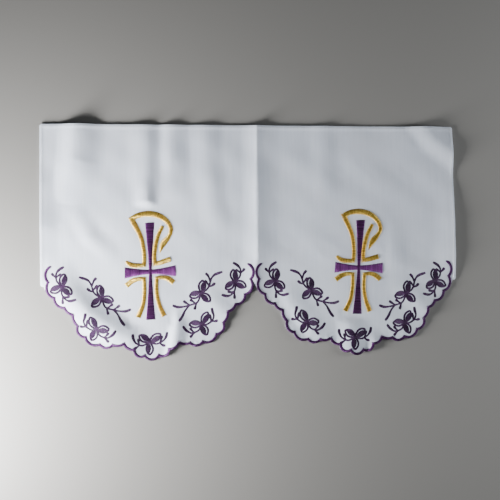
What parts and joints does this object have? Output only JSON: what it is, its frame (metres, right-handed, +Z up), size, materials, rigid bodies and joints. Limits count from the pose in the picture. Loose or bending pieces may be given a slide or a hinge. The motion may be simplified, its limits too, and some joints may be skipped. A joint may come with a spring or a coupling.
{
  "type": "embroidered altar cloth",
  "caption": "Smooth white altar cloth lying flat, with scalloped lobes edged in purple satin stitch and an embroidered cross with gold strokes on each lobe.",
  "frame": {"origin": "on the surface the cloth lies on, under the middle of its box", "axes": "+X along the cloth from the left lobe to the right one, +Y from the scalloped edge to the back hem, +Z up"},
  "size_m": [0.772, 0.4308, 0.0099],
  "materials": {
    "white_cloth": "smooth white cloth with a soft sheen",
    "purple_thread": "glossy purple embroidery thread in satin stitch",
    "gold_thread": "glossy gold embroidery thread in satin stitch"
  },
  "bodies": {
    "root": {"cloth": "white_cloth", "edging_left": "purple_thread", "edging_right": "purple_thread", "cross_left": "purple_thread", "cross_right": "purple_thread", "gold_loop_left": "gold_thread", "gold_upper_left": "gold_thread", "gold_lower_left_left": "gold_thread", "gold_lower_right_left": "gold_thread", "gold_loop_right": "gold_thread", "gold_upper_right": "gold_thread", "gold_lower_left_right": "gold_thread", "gold_lower_right_right": "gold_thread"}
  },
  "joints": []
}
